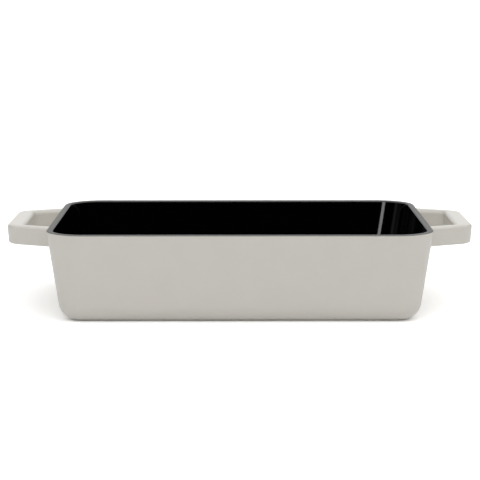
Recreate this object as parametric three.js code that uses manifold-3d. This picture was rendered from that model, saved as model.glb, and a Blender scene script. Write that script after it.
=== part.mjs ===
// Enamelled cast-iron roasting pan: a deep rectangular tub with drafted walls, rounded corners and a
// squared loop handle at each short end. Iron is cast to shape, then coated with fired enamel:
// stone grey outside, gloss black inside and a dark grey band over the rim.
// Millimetres, +Z up, +X along the length. The origin is the centre of the face that the pan stands on.
import * as THREE from "three";
import { mergeVertices } from "three/addons/utils/BufferGeometryUtils.js";
import Module from "manifold-3d";

// Tub, measured over the outside enamel
const RIM_LENGTH = 330;
const RIM_WIDTH = 230;
const PAN_HEIGHT = 76.5;
const RIM_CORNER_RADIUS = 34;
const FOOT_CORNER_RADIUS = 18.5;
const WALL_DRAFT_DEG = 9.2;
const BASE_EDGE_RADIUS = 17;

// Iron of the tub, and the hollow inside it
const IRON_WALL = 4.3;
const IRON_FLOOR = 5;
const INSIDE_CORNER_RADIUS = 27;
const INSIDE_EDGE_RADIUS = 11;

// Enamel coats
const OUTSIDE_COAT = 0.5;
const INSIDE_COAT = 0.5;
const RIM_COAT = 0.5;
const RIM_EDGE_RADIUS = 0.8;

// Handles, measured over their enamel
const HANDLE_REACH = 39;
const HANDLE_DROP = 0.5;
const HANDLE_THICKNESS = 17;
const HANDLE_TIP_WIDTH = 94;
const HANDLE_FLARE_DEG = 25;
const HANDLE_DRAFT_DEG = 4;
const HANDLE_CORNER_RADIUS = 16;
const HANDLE_EDGE_RADIUS = 3;
const GRIP_BAR_WIDTH = 15;
const SIDE_BAR_WIDTH = 11.2;
const SLOT_CORNER_RADIUS = 5;
const SLOT_EDGE_RADIUS = 5;
const HANDLE_COAT = 0.5;

// Seam between a coat and the iron under it, and between pieces that are cut to meet each other
const COAT_SEAM = 0.05;
const CUT_SEAM = 0.3;

// Facets of each round stretch, and the smallest corner and edge that a thin piece keeps
const CORNER_STEPS = 7;
const TUB_EDGE_STEPS = 6;
const RIM_EDGE_STEPS = 3;
const HANDLE_CORNER_STEPS = 5;
const HANDLE_EDGE_STEPS = 4;
const LEAST_CORNER = 1;
const LEAST_EDGE = 0.05;

const draft = THREE.MathUtils.degToRad(WALL_DRAFT_DEG);
const flare = THREE.MathUtils.degToRad(HANDLE_FLARE_DEG);
const handleDraft = THREE.MathUtils.degToRad(HANDLE_DRAFT_DEG);
const rightAngle = Math.PI / 2;

// Depths below the outside surface, square to the wall
const ironOutside = OUTSIDE_COAT + COAT_SEAM;
const ironInside = ironOutside + IRON_WALL;
const coatInside = ironInside + COAT_SEAM;
const hollowWall = coatInside + INSIDE_COAT;

// The same layers below the pan, at its flat floor
const ironFloorTop = ironOutside + IRON_FLOOR;
const coatFloorBottom = ironFloorTop + COAT_SEAM;
const hollowFloor = coatFloorBottom + INSIDE_COAT;

const wasm = await Module();
wasm.setup();

// The numbers from start to end in equal steps, both ends included
function steps(start, end, count) {
  return Array.from({ length: count + 1 }, (_, i) => start + ((end - start) * i) / count);
}

// How far the drafted wall stands in from the rim's edge, at a height and a depth under its surface
function wallInset(height, depth) {
  return (PAN_HEIGHT - height) * Math.tan(draft) + depth / Math.cos(draft);
}

// The radius of a round edge at a depth under its surface
function edgeUnder(radius, depth) {
  return Math.max(radius - depth, LEAST_EDGE);
}

// A profile point of the hollow, whose corners keep one radius all the way down the wall
function inHollow({ inset, height }) {
  return { inset, height, corner: INSIDE_CORNER_RADIUS + wallInset(height, hollowWall) - inset };
}

// Outside corners get tighter from the rim to the foot of the wall: by the inset, and by a taper of
// their own that ends where the round lower edge starts
const footHeight = BASE_EDGE_RADIUS * (1 - Math.sin(draft));
const footCornerByInset = RIM_CORNER_RADIUS - wallInset(footHeight, 0);
const cornerTaper = (footCornerByInset - FOOT_CORNER_RADIUS) / (PAN_HEIGHT - footHeight);

function outsideCorner(inset, height) {
  return RIM_CORNER_RADIUS - inset - cornerTaper * (PAN_HEIGHT - Math.max(height, footHeight));
}

// One level outline of the tub: a rectangle with round corners, set in from the rim by the inset
function tubRing({ inset, height, corner = outsideCorner(inset, height) }) {
  const radius = Math.max(corner, LEAST_CORNER);
  const cornerX = RIM_LENGTH / 2 - inset - radius;
  const cornerY = RIM_WIDTH / 2 - inset - radius;
  const ring = [];
  [[1, 1], [-1, 1], [-1, -1], [1, -1]].forEach(([sideX, sideY], quarter) => {
    for (const angle of steps(quarter * rightAngle, (quarter + 1) * rightAngle, CORNER_STEPS)) {
      const x = sideX * cornerX + radius * Math.cos(angle);
      const y = sideY * cornerY + radius * Math.sin(angle);
      ring.push(new THREE.Vector3(x, y, height));
    }
  });
  return ring;
}

// Profile from the flat floor round the lower edge to the foot of the wall
function lowerEdge(wallDepth, floorHeight, radius) {
  const centreHeight = floorHeight + radius;
  const centreInset = wallInset(centreHeight, wallDepth + radius);
  return steps(rightAngle, draft, TUB_EDGE_STEPS).map((angle) => ({
    inset: centreInset - radius * Math.cos(angle),
    height: centreHeight - radius * Math.sin(angle),
  }));
}

// Profile over the top of the wall, from its outer face to its inner face, both edges rounded
function topEdge(outerDepth, innerDepth, drop, radius) {
  const centreHeight = PAN_HEIGHT - drop - radius;
  const outerInset = wallInset(centreHeight, outerDepth + radius);
  const innerInset = wallInset(centreHeight, innerDepth - radius);
  const outer = steps(-draft, rightAngle, RIM_EDGE_STEPS).map((angle) => ({
    inset: outerInset - radius * Math.cos(angle),
    height: centreHeight + radius * Math.sin(angle),
  }));
  const inner = steps(rightAngle, draft, RIM_EDGE_STEPS).map((angle) => ({
    inset: innerInset + radius * Math.cos(angle),
    height: centreHeight + radius * Math.sin(angle),
  }));
  return [...outer, ...inner.map(inHollow)];
}

// A point of the wall's profile at a height and a depth
function wallPoint(height, depth) {
  return { inset: wallInset(height, depth), height };
}

// A surface through the rings in turn, closed by flat ends or by joining the last ring to the first
function loft(rings, joined) {
  const around = rings[0].length;
  const positions = rings.flat().flatMap((point) => point.toArray());
  const index = [];
  const bands = joined ? rings.length : rings.length - 1;
  for (let band = 0; band < bands; band++) {
    const low = band * around;
    const high = ((band + 1) % rings.length) * around;
    for (let i = 0; i < around; i++) {
      const next = (i + 1) % around;
      index.push(low + i, low + next, high + next, low + i, high + next, high + i);
    }
  }
  if (!joined) {
    [rings[0], rings.at(-1)].forEach((ring, end) => {
      const start = end ? (rings.length - 1) * around : 0;
      const hub = positions.length / 3;
      const middle = ring.reduce((sum, point) => sum.add(point), new THREE.Vector3());
      positions.push(...middle.divideScalar(around).toArray());
      for (let i = 0; i < around; i++) {
        const next = (i + 1) % around;
        const edge = end ? [start + i, start + next] : [start + next, start + i];
        index.push(...edge, hub);
      }
    });
  }
  const geometry = new THREE.BufferGeometry();
  geometry.setAttribute("position", new THREE.Float32BufferAttribute(positions, 3));
  geometry.setIndex(index);
  return geometry;
}

function tubLoft(profile, joined) {
  return loft(profile.map(tubRing), joined);
}

function toSolid(geometry) {
  const plain = geometry.clone();
  plain.deleteAttribute("normal");
  plain.deleteAttribute("uv");
  const merged = mergeVertices(plain);
  return new wasm.Manifold(
    new wasm.Mesh({
      numProp: 3,
      vertProperties: merged.attributes.position.array,
      triVerts: new Uint32Array(merged.index.array),
    }),
  );
}

function toGeometry(solid) {
  const mesh = solid.getMesh();
  const geometry = new THREE.BufferGeometry();
  geometry.setAttribute("position", new THREE.BufferAttribute(mesh.vertProperties, 3));
  geometry.setIndex(new THREE.BufferAttribute(mesh.triVerts, 1));
  geometry.computeVertexNormals();
  return geometry;
}

// The tub's outside filled up past the rim, at a depth under the enamel: what a handle is cut back by
function filledTub(depth) {
  const aboveRim = PAN_HEIGHT + HANDLE_THICKNESS;
  const edge = lowerEdge(depth, depth, BASE_EDGE_RADIUS - depth);
  return toSolid(tubLoft([...edge, wallPoint(aboveRim, depth)], false));
}

// Iron tub, from its underside up the outside, over the rim and down to the floor inside
function panCasting() {
  const inside = lowerEdge(ironInside, ironFloorTop, INSIDE_EDGE_RADIUS + INSIDE_COAT + COAT_SEAM);
  const rimUnder = RIM_COAT + COAT_SEAM;
  return tubLoft(
    [
      ...lowerEdge(ironOutside, ironOutside, BASE_EDGE_RADIUS - ironOutside),
      ...topEdge(ironOutside, ironInside, rimUnder, edgeUnder(RIM_EDGE_RADIUS, rimUnder)),
      ...inside.toReversed().map(inHollow),
    ],
    false,
  );
}

// Where the coat of a wall stops under the rim's coat: on the line square to the wall through the
// centre of the rim's round edge, which lies at the centre depth
function underRim(depth, centreDepth) {
  const centreHeight = PAN_HEIGHT - RIM_EDGE_RADIUS;
  return wallPoint(centreHeight + (depth - centreDepth) * Math.sin(draft) - COAT_SEAM, depth);
}

// Coat of the outside walls and of the round edge below them, open where the handles join the iron
function sideEnamel(handles) {
  const inner = lowerEdge(OUTSIDE_COAT, OUTSIDE_COAT, BASE_EDGE_RADIUS - OUTSIDE_COAT);
  const coat = tubLoft(
    [
      ...lowerEdge(0, 0, BASE_EDGE_RADIUS),
      underRim(0, RIM_EDGE_RADIUS),
      underRim(OUTSIDE_COAT, RIM_EDGE_RADIUS),
      ...inner.toReversed(),
    ],
    true,
  );
  return toGeometry(handles.reduce((left, handle) => left.subtract(handle), toSolid(coat)));
}

// Coat of the flat underside, which the pan stands on
function baseEnamel() {
  const [edge] = lowerEdge(0, 0, BASE_EDGE_RADIUS);
  const inset = edge.inset + COAT_SEAM;
  return tubLoft([{ inset, height: 0 }, { inset, height: OUTSIDE_COAT }], false);
}

// Coat of the hollow: floor, round lower edge and walls in one skin
function insideEnamel() {
  const surface = lowerEdge(hollowWall, hollowFloor, INSIDE_EDGE_RADIUS);
  const rimCentre = hollowWall - RIM_EDGE_RADIUS;
  const profile = [
    ...lowerEdge(coatInside, coatFloorBottom, INSIDE_EDGE_RADIUS + INSIDE_COAT),
    underRim(coatInside, rimCentre),
    underRim(hollowWall, rimCentre),
    ...surface.toReversed(),
  ];
  return tubLoft(profile.map(inHollow), false);
}

// Band over the rim: a thin cap that follows the rounded top of the iron
function rimEnamel() {
  const under = topEdge(RIM_COAT, hollowWall - RIM_COAT, RIM_COAT, edgeUnder(RIM_EDGE_RADIUS, RIM_COAT));
  return tubLoft([...topEdge(0, hollowWall, 0, RIM_EDGE_RADIUS), ...under.toReversed()], true);
}

const handleTip = RIM_LENGTH / 2 + HANDLE_REACH;
const handleTop = PAN_HEIGHT - HANDLE_DROP;
const handleBottom = handleTop - HANDLE_THICKNESS;
const handleRoot = RIM_LENGTH / 2 - wallInset(handleBottom, hollowWall);

// Half of a plan outline of the handle, from its root along the flared side and round to the tip
function handleOutline(tipX, tipHalfWidth, radius) {
  const centreX = tipX - radius;
  const centreY = tipHalfWidth + (radius * Math.sin(flare) - radius) / Math.cos(flare);
  const rootHalfWidth = tipHalfWidth + (tipX - handleRoot) * Math.tan(flare);
  const corner = steps(rightAngle - flare, 0, HANDLE_CORNER_STEPS).map((angle) => [
    centreX + radius * Math.cos(angle),
    centreY + radius * Math.sin(angle),
  ]);
  return [[handleRoot, rootHalfWidth], ...corner];
}

// How much half the width at the tip line changes when the flared side moves out by a distance
// and the tip line moves out with it
const widthPerOffset = (1 - Math.sin(flare)) / Math.cos(flare);

function outerOutline(offset) {
  const halfWidth = HANDLE_TIP_WIDTH / 2 - offset * widthPerOffset;
  return handleOutline(handleTip - offset, halfWidth, HANDLE_CORNER_RADIUS - offset);
}

function slotOutline(offset) {
  const sideAtGrip = HANDLE_TIP_WIDTH / 2 + GRIP_BAR_WIDTH * Math.tan(flare);
  const halfWidth = sideAtGrip - SIDE_BAR_WIDTH / Math.cos(flare) + offset * widthPerOffset;
  return handleOutline(handleTip - GRIP_BAR_WIDTH + offset, halfWidth, SLOT_CORNER_RADIUS + offset);
}

// The outer side of the bar draws in towards its underside
function draftedOutline(offset, height) {
  return outerOutline(offset + (handleTop - height) * Math.tan(handleDraft));
}

// Lines of the bar's surface round its section, at a depth under its enamel. Each is a plan outline
// at a height: up the outer side, over the top, down into the slot and back along the underside.
function barLines(depth) {
  const roundEdge = (outlineAt, radius, centreHeight, from, to) =>
    steps(from, to, HANDLE_EDGE_STEPS).map((angle) => {
      const height = centreHeight + (radius - depth) * Math.sin(angle);
      return { outline: outlineAt(radius - (radius - depth) * Math.cos(angle), height), height };
    });
  return [
    ...roundEdge(draftedOutline, HANDLE_EDGE_RADIUS, handleTop - HANDLE_EDGE_RADIUS, 0, rightAngle),
    ...roundEdge(slotOutline, SLOT_EDGE_RADIUS, handleTop - SLOT_EDGE_RADIUS, rightAngle, 0),
    ...roundEdge(slotOutline, SLOT_EDGE_RADIUS, handleBottom + SLOT_EDGE_RADIUS, 0, -rightAngle),
    ...roundEdge(draftedOutline, HANDLE_EDGE_RADIUS, handleBottom + HANDLE_EDGE_RADIUS, -rightAngle, 0),
  ];
}

// The handle's loop as one bent bar, at a depth under its enamel, on the side of the pan given by a sign
function handleBar(depth, side) {
  const lines = barLines(depth);
  const stations = lines[0].outline.map((_, i) => i);
  const ringAt = (station, hand) =>
    lines.map(({ outline, height }) => {
      const [x, y] = outline[station];
      return new THREE.Vector3(side * x, side * hand * y, height);
    });
  const rings = [
    ...stations.map((station) => ringAt(station, 1)),
    ...stations.toReversed().map((station) => ringAt(station, -1)),
  ];
  return toSolid(loft(rings, false));
}

// Iron of one handle, ending at the iron of the tub
function handleCasting(side) {
  const iron = handleBar(HANDLE_COAT + COAT_SEAM, side);
  return toGeometry(iron.subtract(filledTub(ironOutside - CUT_SEAM)));
}

// Coat of one handle: a sleeve that ends at the coat of the wall
function handleEnamel(side) {
  const sleeve = handleBar(0, side).subtract(handleBar(HANDLE_COAT, side));
  return toGeometry(sleeve.subtract(filledTub(-CUT_SEAM)));
}

function addPiece(group, name, geometry, material) {
  const mesh = new THREE.Mesh(geometry, material);
  mesh.name = name;
  group.add(mesh);
}

const iron = { color: 0x4a4a4c, roughness: 0.7, metalness: 0.9 };
const stone = { color: 0xc4c0b9, roughness: 0.4, metalness: 0 };
const black = { color: 0x070708, roughness: 0.12, metalness: 0 };
const rimGrey = { color: 0x7c7c7e, roughness: 0.45, metalness: 0 };
const inFinish = (finish) => new THREE.MeshStandardMaterial(finish);

const roastingPan = new THREE.Group();
addPiece(roastingPan, "pan_casting", panCasting(), inFinish(iron));
addPiece(roastingPan, "side_enamel", sideEnamel([handleBar(0, 1), handleBar(0, -1)]), inFinish(stone));
addPiece(roastingPan, "base_enamel", baseEnamel(), inFinish(stone));
addPiece(roastingPan, "inside_enamel", insideEnamel(), inFinish(black));
addPiece(roastingPan, "rim_enamel", rimEnamel(), inFinish(rimGrey));
for (const [name, side] of [["left", -1], ["right", 1]]) {
  addPiece(roastingPan, `${name}_handle_casting`, handleCasting(side), inFinish(iron));
  addPiece(roastingPan, `${name}_handle_enamel`, handleEnamel(side), inFinish(stone));
}

export default roastingPan;
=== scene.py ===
# Enamelled cast-iron roasting pan: its looks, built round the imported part.
# Metres, +Z up, +X along the length. The origin is the centre of the face that the pan stands on.
import math

import bmesh
import bpy
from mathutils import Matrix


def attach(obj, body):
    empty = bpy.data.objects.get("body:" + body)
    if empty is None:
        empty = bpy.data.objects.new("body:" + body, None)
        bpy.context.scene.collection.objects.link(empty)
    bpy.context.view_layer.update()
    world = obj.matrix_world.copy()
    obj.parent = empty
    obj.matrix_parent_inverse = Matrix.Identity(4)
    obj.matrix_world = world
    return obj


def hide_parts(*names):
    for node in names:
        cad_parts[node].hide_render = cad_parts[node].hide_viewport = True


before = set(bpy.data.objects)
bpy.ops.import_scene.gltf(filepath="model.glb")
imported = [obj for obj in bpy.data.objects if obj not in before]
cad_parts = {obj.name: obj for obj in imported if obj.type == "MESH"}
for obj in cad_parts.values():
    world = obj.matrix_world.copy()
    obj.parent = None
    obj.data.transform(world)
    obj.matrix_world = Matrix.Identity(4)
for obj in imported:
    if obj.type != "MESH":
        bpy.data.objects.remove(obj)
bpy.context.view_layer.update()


# Iron castings: the tub and its two loop handles, grey iron poured in sand, with the sand's grain on
# their skin. They carry all the coats and are covered by them, so they stay as the frame's solids.
iron_dark, iron_light = (0.045, 0.045, 0.047), (0.1, 0.1, 0.103)
grain_depth = 0.0003


def plain_material(name):
    """A new material, its node tree and its Principled shader."""
    material = bpy.data.materials.new(name)
    material.use_nodes = True
    tree = material.node_tree
    return material, tree, tree.nodes["Principled BSDF"]


def object_noise(tree, scale, detail, roughness):
    """Noise on the piece's own coordinates. The scale is a number or another node's output."""
    place = tree.nodes.new("ShaderNodeTexCoord")
    noise = tree.nodes.new("ShaderNodeTexNoise")
    if isinstance(scale, (int, float)):
        noise.inputs["Scale"].default_value = scale
    else:
        tree.links.new(scale, noise.inputs["Scale"])
    noise.inputs["Detail"].default_value = detail
    noise.inputs["Roughness"].default_value = roughness
    tree.links.new(place.outputs["Object"], noise.inputs["Vector"])
    return noise.outputs["Fac"]


def blend_colours(tree, factor, low, high):
    """A colour between low and high, by the factor."""
    mix = tree.nodes.new("ShaderNodeMix")
    mix.data_type = "RGBA"
    mix.inputs["A"].default_value = (*low, 1)
    mix.inputs["B"].default_value = (*high, 1)
    tree.links.new(factor, mix.inputs["Factor"])
    return mix.outputs["Result"]


def blend_values(tree, factor, low, high):
    """A value between low and high, by the factor."""
    mix = tree.nodes.new("ShaderNodeMix")
    mix.inputs["A"].default_value = low
    mix.inputs["B"].default_value = high
    tree.links.new(factor, mix.inputs["Factor"])
    return mix.outputs["Result"]


def raised(tree, height, depth):
    """A normal that shows the height, with its full range worth the depth in metres."""
    bump = tree.nodes.new("ShaderNodeBump")
    bump.inputs["Distance"].default_value = depth
    tree.links.new(height, bump.inputs["Height"])
    return bump.outputs["Normal"]


def dress(tree, shader, factor, colours, roughness, height, depth):
    """Blends the shader's colour and roughness by the factor, and raises its surface by the height."""
    tree.links.new(blend_colours(tree, factor, *colours), shader.inputs["Base Color"])
    tree.links.new(blend_values(tree, factor, *roughness), shader.inputs["Roughness"])
    tree.links.new(raised(tree, height, depth), shader.inputs["Normal"])


cast_iron, iron_tree, iron_shader = plain_material("cast_iron")
sand_grain = object_noise(iron_tree, scale=900, detail=6, roughness=0.65)
dress(iron_tree, iron_shader, sand_grain, (iron_dark, iron_light), (0.6, 0.85), sand_grain, grain_depth)
iron_shader.inputs["Metallic"].default_value = 0.9
for casting in ("pan_casting", "left_handle_casting", "right_handle_casting"):
    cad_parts[casting].data.materials.clear()
    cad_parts[casting].data.materials.append(cast_iron)


# Outside coat: stone-grey enamel sprayed on the walls, the round lower edge and the underside, then
# fired to a satin skin half a millimetre thick. It laps on to the round edge of the rim, and its
# corners get tighter from the rim to the foot.
pan_height = 0.0765
rim_half_length, rim_half_width = 0.165, 0.115
rim_corner_radius = 0.034
foot_corner_radius = 0.0185
wall_draft = math.radians(9.2)
base_edge_radius = 0.017
rim_edge_radius = 0.0008
wall_top = pan_height - 1.5 * rim_edge_radius
coat_lap = math.radians(13)
coat_thickness = 0.0005
corner_segments = 28
edge_segments = 16
roll_segments = 5
touch = 1e-5
stone_dark, stone_light = (0.525, 0.505, 0.462), (0.565, 0.543, 0.498)
stone_peel_depth = 0.00012


def wall_inset(height, depth):
    """How far the drafted wall stands in from the rim's edge, at a height and a depth under it."""
    return (pan_height - height) * math.tan(wall_draft) + depth / math.cos(wall_draft)


def add_rounded_sheet(half_length, half_width, height, radius):
    """Adds a level sheet with round corners, and leaves it selected in edit mode."""
    if bpy.context.mode == "OBJECT":
        bpy.ops.object.select_all(action="DESELECT")
    bpy.ops.mesh.primitive_plane_add(size=2, location=(0, 0, height))
    if bpy.context.mode == "OBJECT":
        bpy.ops.object.transform_apply(location=True)
        bpy.ops.object.mode_set(mode="EDIT")
    bpy.ops.mesh.select_mode(type="VERT")
    bpy.ops.transform.resize(value=(half_length, half_width, 1), center_override=(0, 0, height))
    bpy.ops.mesh.bevel(offset=radius, segments=corner_segments, affect="VERTICES")
    bpy.ops.mesh.select_mode(type="FACE")
    return bpy.context.active_object


def pick(piece, kind, test):
    """Selects only the verts, edges or faces of the piece that pass the test, in edit mode."""
    bpy.ops.mesh.select_mode(type=kind)
    bpy.ops.mesh.select_all(action="DESELECT")
    mesh = bmesh.from_edit_mesh(piece.data)
    for part in {"VERT": mesh.verts, "EDGE": mesh.edges, "FACE": mesh.faces}[kind]:
        if test(part):
            part.select_set(True)
    bmesh.update_edit_mesh(piece.data)


def join_outlines():
    """Turns two sheets in edit mode into the strip between their outlines."""
    bpy.ops.mesh.select_all(action="SELECT")
    bpy.ops.mesh.delete(type="ONLY_FACE")
    bpy.ops.mesh.select_mode(type="EDGE")
    bpy.ops.mesh.select_all(action="SELECT")
    bpy.ops.mesh.bridge_edge_loops()


def roll_edge(start, end):
    """Carries the selected open edges round the edge of the rim, between two angles over the level."""
    turns = [start + (end - start) * i / roll_segments for i in range(roll_segments + 1)]
    for turn, next_turn in zip(turns, turns[1:]):
        rise = rim_edge_radius * (math.sin(next_turn) - math.sin(turn))
        bpy.ops.mesh.extrude_edges_move(TRANSFORM_OT_translate={"value": (0, 0, rise)})
        bpy.ops.transform.shrink_fatten(value=rim_edge_radius * (math.cos(next_turn) - math.cos(turn)))


def draw_down(profile):
    """Insets the selected sheet from point to point of a profile of (inset, height)."""
    for (inset, height), (next_inset, next_height) in zip(profile, profile[1:]):
        bpy.ops.mesh.inset(thickness=next_inset - inset, depth=next_height - height)


def lower_edge(wall_depth, floor_height, radius):
    """Profile of a round lower edge, from the foot of the wall to the flat floor."""
    centre_height = floor_height + radius
    centre_inset = wall_inset(centre_height, wall_depth + radius)
    turns = [wall_draft + (math.pi / 2 - wall_draft) * i / edge_segments for i in range(edge_segments + 1)]
    return [(centre_inset - radius * math.cos(a), centre_height - radius * math.sin(a)) for a in turns]


def finish_coat(piece, name, material):
    """Gives a skin its thickness below its outer face, shades it smooth and puts it on the pan."""
    bpy.ops.object.mode_set(mode="OBJECT")
    piece.name = piece.data.name = name
    shell = piece.modifiers.new("coat thickness", "SOLIDIFY")
    shell.thickness = coat_thickness
    shell.offset = -1
    shell.use_even_offset = True
    bpy.ops.object.modifier_apply(modifier=shell.name)
    bpy.ops.object.shade_smooth_by_angle(angle=math.radians(40))
    true_faces = piece.modifiers.new("true flat faces", "WEIGHTED_NORMAL")
    true_faces.keep_sharp = True
    bpy.ops.object.modifier_apply(modifier=true_faces.name)
    piece.data.materials.append(material)
    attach(piece, "root")


fired_skin = bpy.data.node_groups.new("fired_skin", "ShaderNodeTree")
for socket in ("Mottle Scale", "Peel Scale", "Wave Scale", "Wave Share"):
    fired_skin.interface.new_socket(socket, in_out="INPUT", socket_type="NodeSocketFloat")
for socket in ("Mottle", "Height"):
    fired_skin.interface.new_socket(socket, in_out="OUTPUT", socket_type="NodeSocketFloat")
skin_in = fired_skin.nodes.new("NodeGroupInput")
skin_out = fired_skin.nodes.new("NodeGroupOutput")
mottle = object_noise(fired_skin, skin_in.outputs["Mottle Scale"], detail=4, roughness=0.6)
peel = object_noise(fired_skin, skin_in.outputs["Peel Scale"], detail=2, roughness=0.5)
wave = object_noise(fired_skin, skin_in.outputs["Wave Scale"], detail=1, roughness=0.4)
skin_height = fired_skin.nodes.new("ShaderNodeMix")
fired_skin.links.new(skin_in.outputs["Wave Share"], skin_height.inputs["Factor"])
fired_skin.links.new(peel, skin_height.inputs["A"])
fired_skin.links.new(wave, skin_height.inputs["B"])
fired_skin.links.new(mottle, skin_out.inputs["Mottle"])
fired_skin.links.new(skin_height.outputs["Result"], skin_out.inputs["Height"])


def add_fired_skin(tree, mottle_scale, peel_scale, wave_scale, wave_share):
    """Places the fired skin's group in a material with its own sizes, and gives its mottle and height."""
    group = tree.nodes.new("ShaderNodeGroup")
    group.node_tree = fired_skin
    group.inputs["Mottle Scale"].default_value = mottle_scale
    group.inputs["Peel Scale"].default_value = peel_scale
    group.inputs["Wave Scale"].default_value = wave_scale
    group.inputs["Wave Share"].default_value = wave_share
    return group.outputs["Mottle"], group.outputs["Height"]


stone_enamel, stone_tree, stone_shader = plain_material("stone_enamel")
stone_mottle, stone_height = add_fired_skin(
    stone_tree, mottle_scale=45, peel_scale=650, wave_scale=28, wave_share=0.7
)
stone_colours, stone_roughness = (stone_dark, stone_light), (0.34, 0.44)
dress(
    stone_tree, stone_shader, stone_mottle, stone_colours, stone_roughness, stone_height, stone_peel_depth
)

outside_top = wall_inset(wall_top, 0)
outside_edge = lower_edge(0, 0, base_edge_radius)
foot_inset, foot_height = outside_edge[0]
outside_coat = add_rounded_sheet(
    rim_half_length - outside_top, rim_half_width - outside_top, wall_top, rim_corner_radius - outside_top
)
add_rounded_sheet(
    rim_half_length - foot_inset, rim_half_width - foot_inset, foot_height, foot_corner_radius
)
join_outlines()
bpy.ops.mesh.select_all(action="SELECT")
bpy.ops.mesh.normals_make_consistent(inside=True)
pick(outside_coat, "EDGE", lambda e: e.is_boundary and e.verts[0].co.z < foot_height + touch)
bpy.ops.mesh.edge_face_add()
bpy.ops.mesh.select_mode(type="FACE")
draw_down(outside_edge)
bpy.ops.mesh.select_all(action="SELECT")
bpy.ops.mesh.flip_normals()
pick(outside_coat, "EDGE", lambda e: e.is_boundary)
up_to_edge = pan_height - rim_edge_radius - wall_top
bpy.ops.mesh.extrude_edges_move(TRANSFORM_OT_translate={"value": (0, 0, up_to_edge)})
roll_edge(0, coat_lap)
finish_coat(outside_coat, "outside_coat", stone_enamel)
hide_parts("side_enamel", "base_enamel")


# Inside coat: gloss black enamel poured into the tub and fired, one skin over the floor, the round
# lower edge and the walls. Its corners keep one radius all the way down. Along the back it stops a
# little lower, where the grey of the rim runs down.
hollow_depth = 0.0054
hollow_floor = 0.0061
hollow_top = pan_height - rim_edge_radius
inside_corner_radius = 0.027
inside_edge_radius = 0.011
back_start, back_drop = 0.084, 0.0004
black_deep, black_pale = (0.0003, 0.0003, 0.0003), (0.0007, 0.0007, 0.0007)
black_peel_depth = 0.00008

black_enamel, black_tree, black_shader = plain_material("black_enamel")
black_mottle, black_height = add_fired_skin(
    black_tree, mottle_scale=70, peel_scale=500, wave_scale=45, wave_share=0.9
)
black_colours, black_roughness = (black_deep, black_pale), (0.06, 0.1)
dress(
    black_tree, black_shader, black_mottle, black_colours, black_roughness, black_height, black_peel_depth
)

inside_top = wall_inset(hollow_top, hollow_depth)
inside_edge = lower_edge(hollow_depth, hollow_floor, inside_edge_radius)
inside_coat = add_rounded_sheet(
    rim_half_length - inside_top, rim_half_width - inside_top, hollow_top, inside_corner_radius
)
foot_inset, foot_height = inside_edge[0]
bpy.ops.mesh.extrude_region_move(TRANSFORM_OT_translate={"value": (0, 0, foot_height - hollow_top)})
move_in = foot_inset - inside_top
for side in ((1, 0), (-1, 0), (0, 1), (0, -1)):
    pick(
        inside_coat,
        "VERT",
        lambda v: v.co.z < (hollow_top + foot_height) / 2 and v.co.x * side[0] + v.co.y * side[1] > 0,
    )
    bpy.ops.transform.translate(value=(-side[0] * move_in, -side[1] * move_in, 0))
pick(inside_coat, "FACE", lambda f: f.calc_center_median().z > hollow_top - touch)
bpy.ops.mesh.delete(type="FACE")
pick(inside_coat, "VERT", lambda v: v.is_boundary and v.co.y > back_start)
bpy.ops.transform.translate(value=(0, 0, -back_drop))
pick(inside_coat, "FACE", lambda f: f.calc_center_median().z < foot_height + touch)
draw_down(inside_edge)
finish_coat(inside_coat, "inside_coat", black_enamel)
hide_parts("inside_enamel")


# Rim band: dark enamel wiped on the level top of the wall, matt, lapped a little over both edges
# and further down along the back of the hollow. Its grey is partly the enamel's own tone and partly a
# painted sheen of the light that grazes the rim. It is a thin cap on the rounded top of the iron.
outer_level = outside_top + rim_edge_radius
inner_level = inside_top - rim_edge_radius
# The rim colours hold a painted sheen of grazing light as well as the dark enamel's own grey.
rim_dark, rim_light = (0.12, 0.12, 0.118), (0.148, 0.148, 0.145)
rim_peel_depth = 0.0001


def on_hollow(v):
    """Whether a vert of the rim lies on the hollow's side of its middle line."""
    middle = (outer_level + inner_level) / 2
    centre_x = max(abs(v.co.x) - rim_half_length + rim_corner_radius, 0)
    centre_y = max(abs(v.co.y) - rim_half_width + rim_corner_radius, 0)
    return math.hypot(centre_x, centre_y) < rim_corner_radius - middle


rim_enamel, rim_tree, rim_shader = plain_material("rim_enamel")
rim_mottle, rim_height = add_fired_skin(
    rim_tree, mottle_scale=120, peel_scale=900, wave_scale=60, wave_share=0.4
)
dress(rim_tree, rim_shader, rim_mottle, (rim_dark, rim_light), (0.55, 0.68), rim_height, rim_peel_depth)
rim_shader.inputs["Specular IOR Level"].default_value = 0.15

rim_band = add_rounded_sheet(
    rim_half_length - outer_level, rim_half_width - outer_level, pan_height, rim_corner_radius - outer_level
)
add_rounded_sheet(
    rim_half_length - inner_level,
    rim_half_width - inner_level,
    pan_height,
    inside_corner_radius + rim_edge_radius,
)
join_outlines()
bpy.ops.mesh.select_all(action="SELECT")
bpy.ops.mesh.flip_normals()
pick(rim_band, "EDGE", lambda e: e.is_boundary)
roll_edge(math.pi / 2, coat_lap)
pick(rim_band, "EDGE", lambda e: e.is_boundary and all(on_hollow(v) for v in e.verts))
roll_edge(coat_lap, 0)
pick(rim_band, "VERT", lambda v: v.is_boundary and on_hollow(v) and v.co.y > back_start)
bpy.ops.transform.translate(value=(0, 0, -back_drop))
finish_coat(rim_band, "rim_band", rim_enamel)
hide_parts("rim_enamel")


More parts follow.
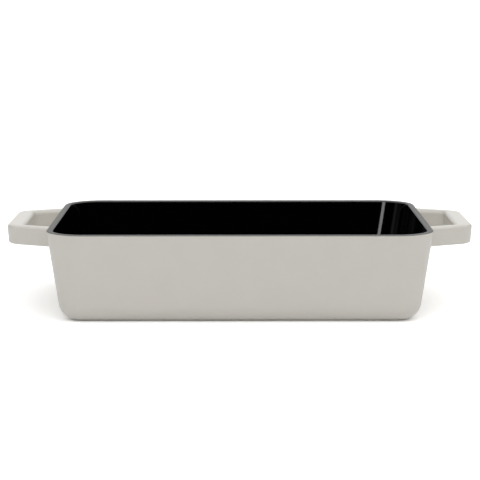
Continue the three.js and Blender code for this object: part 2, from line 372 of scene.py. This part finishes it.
# Handle coats: the same stone-grey enamel over each loop handle, a squared bar that flares to two
# roots on the wall, with softer edges in the finger slot than outside, and small fillets at the roots.
handle_tip = rim_half_length + 0.03893
handle_top = pan_height - 0.0005
handle_thickness = 0.017
tip_half_width = 0.047
handle_flare = math.radians(25)
handle_draft = math.radians(4)
handle_corner_radius = 0.016
handle_edge_radius = 0.002
underside_edge_radius = 0.0015
grip_bar_width = 0.015
side_bar_width = 0.0112
slot_corner_radius = 0.005
slot_edge_radius = 0.003
crown_rise, crown_width = 0.0008, 0.0052
root_fillet = 0.0035
root_overlap = 0.0006
root_x = 0.13
tip_corner_segments, slot_edge_segments, outer_edge_segments, fillet_segments = 14, 8, 6, 7


def add_flared_sheet(tip_x, tip_half, radius):
    """Adds a level sheet from the root line to the tip, flared to the root, with round tip corners."""
    root_half = tip_half + (tip_x - root_x) * math.tan(handle_flare)
    middle = ((tip_x + root_x) / 2, 0, handle_top - crown_rise)
    bpy.ops.mesh.primitive_plane_add(size=2, location=middle)
    if bpy.context.mode == "OBJECT":
        bpy.ops.object.transform_apply(location=True)
        bpy.ops.object.mode_set(mode="EDIT")
    bpy.ops.mesh.select_mode(type="VERT")
    bpy.ops.transform.resize(value=((tip_x - root_x) / 2, root_half, 1), center_override=middle)
    sheet = bpy.context.active_object
    pick(sheet, "VERT", lambda v: abs(v.co.x - tip_x) < touch and abs(abs(v.co.y) - root_half) < touch)
    bpy.ops.transform.resize(value=(1, tip_half / root_half, 1), center_override=middle)
    run_out = radius / math.tan(math.pi / 4 + handle_flare / 2)
    bpy.ops.mesh.bevel(offset=run_out, segments=tip_corner_segments, affect="VERTICES")
    return sheet


bpy.ops.object.select_all(action="DESELECT")
right_handle_coat = add_flared_sheet(handle_tip, tip_half_width, handle_corner_radius)
bar_reach = side_bar_width / math.cos(handle_flare)
slot_tip = handle_tip - grip_bar_width
slot_half = tip_half_width + grip_bar_width * math.tan(handle_flare) - bar_reach
add_flared_sheet(slot_tip, slot_half, slot_corner_radius)
bpy.ops.mesh.select_all(action="SELECT")
bpy.ops.mesh.delete(type="ONLY_FACE")
pick(right_handle_coat, "EDGE", lambda e: all(v.co.x < root_x + touch for v in e.verts))
bpy.ops.mesh.delete(type="EDGE")
bpy.ops.mesh.select_all(action="SELECT")
bpy.ops.mesh.bridge_edge_loops()
bpy.ops.mesh.select_all(action="SELECT")
bpy.ops.mesh.normals_make_consistent(inside=False)
bpy.ops.mesh.extrude_region_move(TRANSFORM_OT_translate={"value": (0, 0, crown_rise - handle_thickness)})
bpy.ops.mesh.select_all(action="SELECT")
bpy.ops.mesh.normals_make_consistent(inside=False)
pick(right_handle_coat, "FACE", lambda f: f.normal.z > 0.9)
bpy.ops.mesh.inset(thickness=crown_width, depth=crown_rise)


def on_slot(v):
    """Whether a vert of the bar lies on its slot side."""
    inner = slot_half + (slot_tip - v.co.x) * math.tan(handle_flare)
    return v.co.x < slot_tip + touch and abs(v.co.y) < inner + touch


lean = handle_thickness * math.tan(handle_draft)
root_half = tip_half_width + (handle_tip - root_x) * math.tan(handle_flare)
shorter = 1 - lean / (handle_tip - root_x)
narrower = 1 - lean / math.cos(handle_flare) / root_half
pick(right_handle_coat, "VERT", lambda v: v.co.z < handle_top - handle_thickness / 2 and not on_slot(v))
bpy.ops.transform.resize(value=(shorter, narrower, 1), center_override=(root_x, 0, handle_top))


def is_long_edge(e, slot_side):
    """Whether an edge runs along the top or underside of the bar, on the slot side or the outer side."""
    level = abs(e.verts[0].co.z - e.verts[1].co.z) < 1e-6
    at_root = all(v.co.x < root_x + touch for v in e.verts)
    return level and not at_root and all(on_slot(v) == slot_side for v in e.verts)


def is_upright(f):
    """Whether a face of the bar stands upright."""
    return abs(f.normal.z) < 0.1 and abs(f.normal.x) + abs(f.normal.y) > 0.5


pick(right_handle_coat, "EDGE", lambda e: is_long_edge(e, True))
bpy.ops.mesh.bevel(offset=slot_edge_radius, segments=slot_edge_segments, affect="EDGES")
for facing, radius in ((1, handle_edge_radius), (-1, underside_edge_radius)):
    pick(
        right_handle_coat,
        "EDGE",
        lambda e: is_long_edge(e, False)
        and any(f.normal.z * facing > 0.9 for f in e.link_faces)
        and any(is_upright(f) for f in e.link_faces),
    )
    bpy.ops.mesh.bevel(offset=radius, segments=outer_edge_segments, affect="EDGES")

wall_out = (math.cos(wall_draft), 0, -math.sin(wall_draft))
wall_top_point = (rim_half_length, 0, pan_height)
fillet_start = tuple(p + n * root_fillet for p, n in zip(wall_top_point, wall_out))
bpy.ops.mesh.select_all(action="SELECT")
bpy.ops.mesh.bisect(plane_co=fillet_start, plane_no=wall_out, clear_inner=True)
for hand in (1, -1):
    pick(right_handle_coat, "EDGE", lambda e: e.is_boundary and e.verts[0].co.y * hand > 0)
    mesh = bmesh.from_edit_mesh(right_handle_coat.data)
    loop = [v.co for v in mesh.verts if v.select]
    middle_y = (min(p.y for p in loop) + max(p.y for p in loop)) / 2
    top_z = max(p.z for p in loop)
    top_x = max(p.x for p in loop if p.z > top_z - 1e-6)
    gone, grown = 0, 0
    for step in range(1, fillet_segments + 1):
        turn = math.pi / 2 * step / fillet_segments
        reach = root_fillet * math.sin(turn) / math.cos(wall_draft)
        growth = root_fillet * (1 - math.cos(turn))
        move = (gone - reach, hand * (reach - gone) * math.tan(handle_flare), 0)
        bpy.ops.mesh.extrude_edges_move(TRANSFORM_OT_translate={"value": move})
        middle_y += move[1]
        top_x += move[0]
        wider = (bar_reach + 2 * growth) / (bar_reach + 2 * grown)
        deeper = (handle_thickness + growth) / (handle_thickness + grown)
        bpy.ops.transform.resize(value=(deeper, wider, deeper), center_override=(top_x, middle_y, top_z))
        gone, grown = reach, growth
    bpy.ops.mesh.extrude_edges_move(TRANSFORM_OT_translate={"value": (-root_overlap, 0, 0)})
bpy.ops.mesh.select_all(action="SELECT")
bpy.ops.mesh.normals_make_consistent(inside=False)
bpy.ops.object.mode_set(mode="OBJECT")

bpy.ops.object.duplicate()
left_handle_coat = bpy.context.active_object
left_handle_coat.rotation_euler.z = math.pi
bpy.ops.object.transform_apply(rotation=True)
for handle_coat, hand in ((left_handle_coat, "left"), (right_handle_coat, "right")):
    bpy.ops.object.select_all(action="DESELECT")
    handle_coat.select_set(True)
    bpy.context.view_layer.objects.active = handle_coat
    finish_coat(handle_coat, f"{hand}_handle_coat", stone_enamel)
    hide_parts(f"{hand}_handle_enamel")


# Studio: a pale floor that runs back to a white wall, soft light overhead and behind, a dim panel on
# the left and a dark front. A small strip light to the left of the camera draws the streak in the
# black corner, and shows only where it is mirrored once.
floor_size = 60
floor_tone, floor_seen_tone, floor_glow_tone = 0.85, 1.22, 0.15
overhead_level, overhead_to_right, overhead_to_back = 1.25, 0.2, -1.05
behind_level = 1.3
left_front_level, left_back_level = 0.13, 0.05
strip_place = (-0.779, -1.87, 0.615)
strip_width, strip_height = 0.44, 0.15
strip_lean, strip_turn = math.radians(75), math.radians(-24)
strip_level = 4.5
strip_ray_depth = 2.5
camera_place = (-0.00547, -1.5262, 0.2904)
camera_down, camera_turn = 8.7635, -0.2174
camera_lens = 128.55

bpy.ops.object.select_all(action="DESELECT")
bpy.ops.mesh.primitive_plane_add(size=floor_size, location=(0, 0, 0))
floor = bpy.context.active_object
floor.name = "floor"
pale_floor, floor_tree, floor_shader = plain_material("pale_floor")
seen = floor_tree.nodes.new("ShaderNodeLightPath").outputs["Is Camera Ray"]
floor_colour = blend_colours(floor_tree, seen, (floor_tone,) * 3, (floor_seen_tone,) * 3)
floor_tree.links.new(floor_colour, floor_shader.inputs["Base Color"])
floor_glow = blend_colours(floor_tree, seen, (floor_glow_tone,) * 3, (0, 0, 0))
floor_tree.links.new(floor_glow, floor_shader.inputs["Emission Color"])
floor_shader.inputs["Emission Strength"].default_value = 1
floor_shader.inputs["Roughness"].default_value = 0.9
floor_shader.inputs["Specular IOR Level"].default_value = 0.0
floor.data.materials.append(pale_floor)

world = bpy.data.worlds.new("studio")
bpy.context.scene.world = world
world.use_nodes = True
world_tree = world.node_tree
sky = world_tree.nodes["Background"]
sky.inputs["Color"].default_value = (1, 1, 1, 1)
where = world_tree.nodes.new("ShaderNodeTexCoord")
split = world_tree.nodes.new("ShaderNodeSeparateXYZ")
world_tree.links.new(where.outputs["Generated"], split.inputs["Vector"])


def sky_share(axis, start, full, strength):
    """Light from one side of the sky, which grows from nothing to full along an axis."""
    share = world_tree.nodes.new("ShaderNodeMapRange")
    share.interpolation_type = "SMOOTHSTEP"
    share.inputs["From Min"].default_value = start
    share.inputs["From Max"].default_value = full
    share.inputs["To Max"].default_value = strength
    world_tree.links.new(split.outputs[axis], share.inputs["Value"])
    return share.outputs["Result"]


def sky_math(operation, first, second):
    """One sum on two values of the sky."""
    node = world_tree.nodes.new("ShaderNodeMath")
    node.operation = operation
    for value, socket in zip((first, second), node.inputs):
        if isinstance(value, float):
            socket.default_value = value
        else:
            world_tree.links.new(value, socket)
    return node.outputs["Value"]


tilt = world_tree.nodes.new("ShaderNodeVectorMath")
tilt.operation = "DOT_PRODUCT"
tilt.inputs[1].default_value = (overhead_to_right, overhead_to_back, 0)
world_tree.links.new(where.outputs["Generated"], tilt.inputs[0])
overhead = sky_math("ADD", tilt.outputs["Value"], overhead_level)
overhead = sky_math("MULTIPLY", overhead, sky_share("Z", start=0.32, full=0.5, strength=1.0))
behind = sky_share("Y", start=0.7, full=0.87, strength=behind_level)
left = sky_math("ADD", sky_share("Y", start=-0.01, full=-0.09, strength=left_front_level), left_back_level)
left = sky_math("MULTIPLY", left, sky_share("X", start=-0.925, full=-0.945, strength=1.0))
light = sky_math("ADD", sky_math("ADD", overhead, behind), left)
white = world_tree.nodes.new("ShaderNodeLightPath").outputs["Is Camera Ray"]
world_tree.links.new(sky_math("MAXIMUM", light, white), sky.inputs["Strength"])

strip_data = bpy.data.lights.new("strip_light", "AREA")
strip_data.shape = "RECTANGLE"
strip_data.size = strip_width
strip_data.size_y = strip_height
strip_data.energy = strip_level * math.pi * strip_width * strip_height
strip_data.use_nodes = True
strip_tree = strip_data.node_tree
first_mirror = strip_tree.nodes.new("ShaderNodeMath")
first_mirror.operation = "LESS_THAN"
first_mirror.inputs[1].default_value = strip_ray_depth
ray_depth = strip_tree.nodes.new("ShaderNodeLightPath").outputs["Ray Depth"]
strip_tree.links.new(ray_depth, first_mirror.inputs[0])
strip_tree.links.new(first_mirror.outputs["Value"], strip_tree.nodes["Emission"].inputs["Strength"])
strip_light = bpy.data.objects.new("strip_light", strip_data)
bpy.context.scene.collection.objects.link(strip_light)
strip_light.location = strip_place
strip_light.rotation_euler = (strip_lean, 0, strip_turn)
strip_light.visible_diffuse = False

camera_data = bpy.data.cameras.new("camera")
camera_data.sensor_width = 36
camera_data.lens = camera_lens
camera = bpy.data.objects.new("camera", camera_data)
bpy.context.scene.collection.objects.link(camera)
camera.location = camera_place
camera.rotation_euler = (math.radians(90 - camera_down), 0, math.radians(camera_turn))
bpy.context.scene.camera = camera
bpy.context.scene.view_settings.view_transform = "Standard"

bpy.context.view_layer.update()
